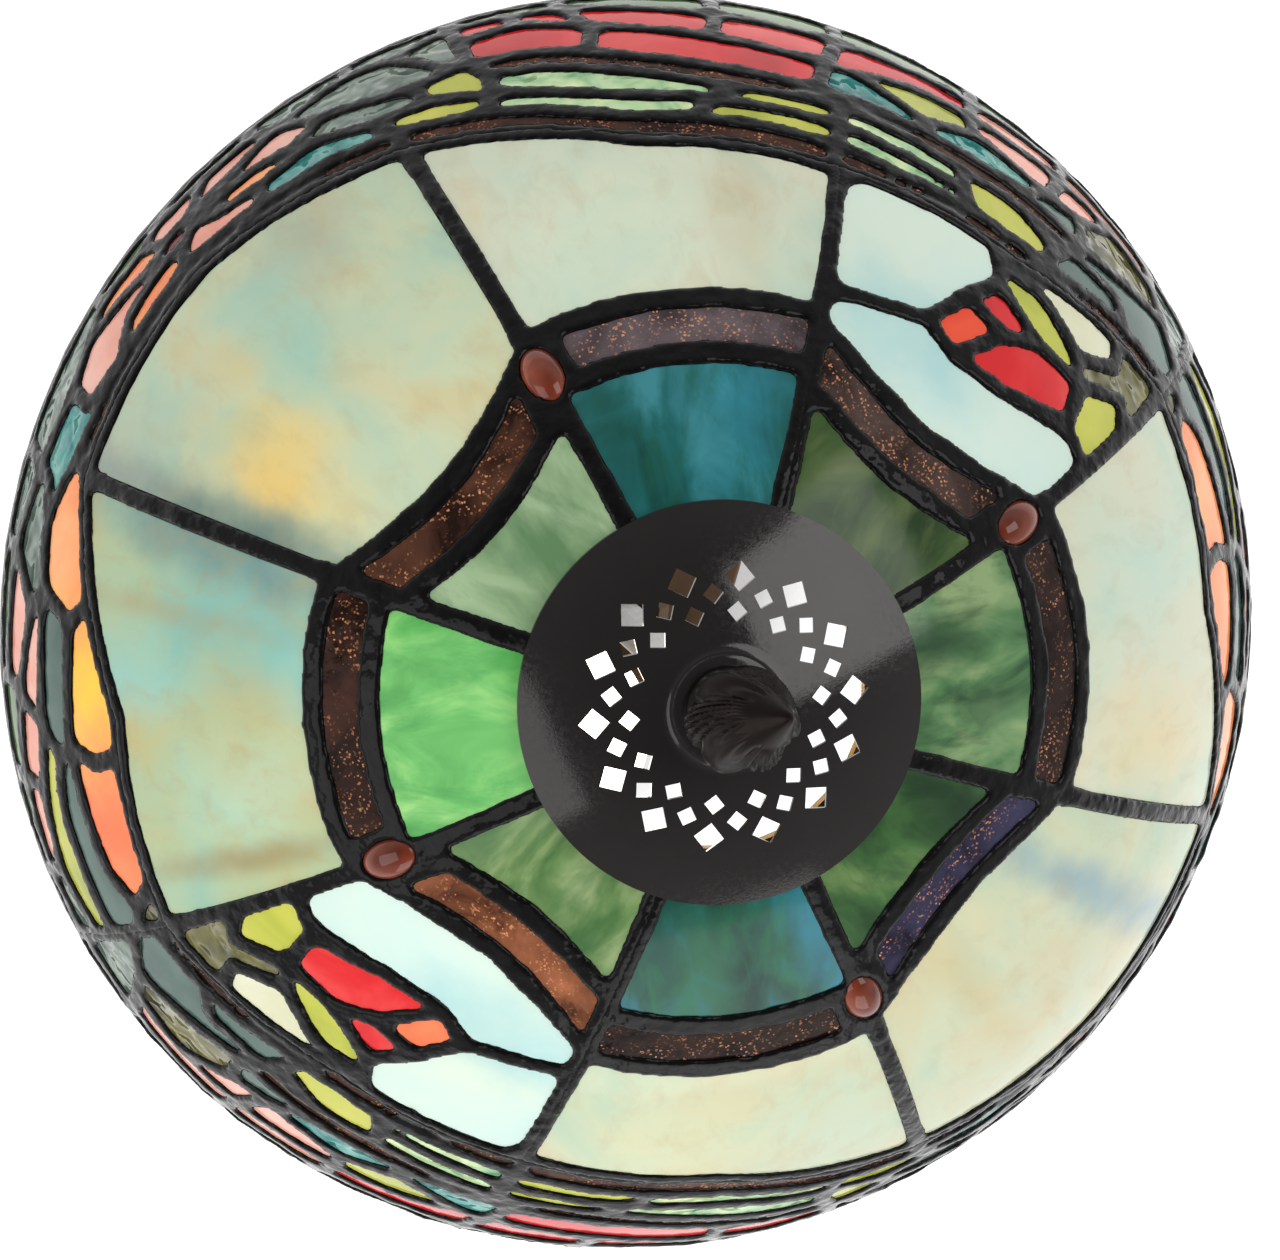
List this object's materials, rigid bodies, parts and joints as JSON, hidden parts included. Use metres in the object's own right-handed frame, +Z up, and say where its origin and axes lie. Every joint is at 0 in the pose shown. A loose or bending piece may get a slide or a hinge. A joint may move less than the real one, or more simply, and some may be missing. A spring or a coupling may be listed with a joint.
{
  "type": "leaded glass table lamp",
  "caption": "Table lamp with a domed leaded glass shade, vented metal cap and bud finial, on a turned bronze-finish stand with a side socket.",
  "frame": {"origin": "centre of the foot's resting face, on the table", "axes": "+Z up along the lamp's pipe; +X and +Y lie in the table"},
  "size_m": [0.3052, 0.3052, 0.4528],
  "materials": {
    "bronze": "antique bronze, satin",
    "gunmetal": "satin dark gunmetal",
    "finial_bronze": "dark bronze, satin",
    "brass": "plain",
    "zinc_steel": "zinc plated",
    "felt": "felt",
    "black_plastic": "satin black",
    "phenolic": "moulded dark brown",
    "fibre_paper": "insulating fibre",
    "frosted_bulb": "frosted",
    "black_solder": "black patina on solder",
    "glass_green": "streaky green",
    "glass_teal": "streaky teal",
    "glass_brown": "brown with copper flecks",
    "glass_cream": "cream opal",
    "glass_streaked": "cream opal with turquoise streaks",
    "glass_opal": "blue, green and yellow opal",
    "glass_pale": "pale blue-white opal",
    "glass_amber": "polished amber",
    "glass_skirt": "mixed greens, oranges and reds"
  },
  "bodies": {
    "stand": {"base_foot": "bronze", "base_felt": "felt", "lock_washer": "zinc_steel", "pipe_nut": "zinc_steel", "column": "bronze", "column_collar": "bronze", "lamp_pipe": "zinc_steel", "cord_bushing": "black_plastic", "cluster_body": "bronze", "socket_arm": "bronze", "socket_cap": "brass", "socket_shell": "brass", "socket_liner": "fibre_paper", "socket_body": "phenolic", "center_contact": "brass", "screw_shell": "brass", "shade_rest": "brass", "rest_nut": "brass"},
    "shade": {"came_web": "black_solder", "rim_bead": "black_solder", "vented_cap": "gunmetal", "cap_ring": "brass", "crown_panel_0": "glass_green", "crown_panel_1": "glass_green", "crown_panel_2": "glass_teal", "crown_panel_3": "glass_green", "crown_panel_4": "glass_green", "crown_panel_5": "glass_green", "crown_panel_6": "glass_teal", "crown_panel_7": "glass_green", "border_strip_0": "glass_brown", "border_strip_1": "glass_brown", "border_strip_2": "glass_brown", "border_strip_3": "glass_brown", "border_strip_4": "glass_brown", "border_strip_5": "glass_brown", "border_strip_6": "glass_brown", "border_strip_7": "glass_brown", "main_pane_0": "glass_cream", "main_pane_1": "glass_pale", "main_pane_2": "glass_cream", "main_pane_3": "glass_opal", "main_pane_4": "glass_streaked", "main_pane_5": "glass_pale", "main_pane_6": "glass_cream", "main_pane_7": "glass_cream", "jewel_0": "glass_amber", "jewel_1": "glass_amber", "jewel_2": "glass_amber", "jewel_3": "glass_amber", "skirt_glass_0": "glass_skirt", "skirt_glass_1": "glass_skirt", "skirt_glass_2": "glass_skirt", "skirt_glass_3": "glass_skirt"},
    "finial": {"finial": "finial_bronze"},
    "bulb": {"bulb_glass": "frosted_bulb", "bulb_cap": "zinc_steel"},
    "switch": {"switch_knob": "black_plastic", "switch_shaft": "zinc_steel"}
  },
  "joints": [
    {"name": "shade_turn", "type": "hinge", "parent": "stand", "child": "shade", "pos_m": [0, 0, 0.4], "axis": [0, 0, 1], "continuous": true},
    {"name": "finial_screw", "type": "hinge", "parent": "stand", "child": "finial", "pos_m": [0, 0, 0.43], "axis": [0, 0, 1], "continuous": true},
    {"name": "bulb_screw", "type": "hinge", "parent": "stand", "child": "bulb", "pos_m": [-0.03215, -0.01107, 0.31], "axis": [0, 0, 1], "continuous": true},
    {"name": "switch_turn", "type": "hinge", "parent": "stand", "child": "switch", "pos_m": [-0.03215, -0.01107, 0.287], "axis": [-0.9455, -0.3256, 0], "continuous": true}
  ]
}
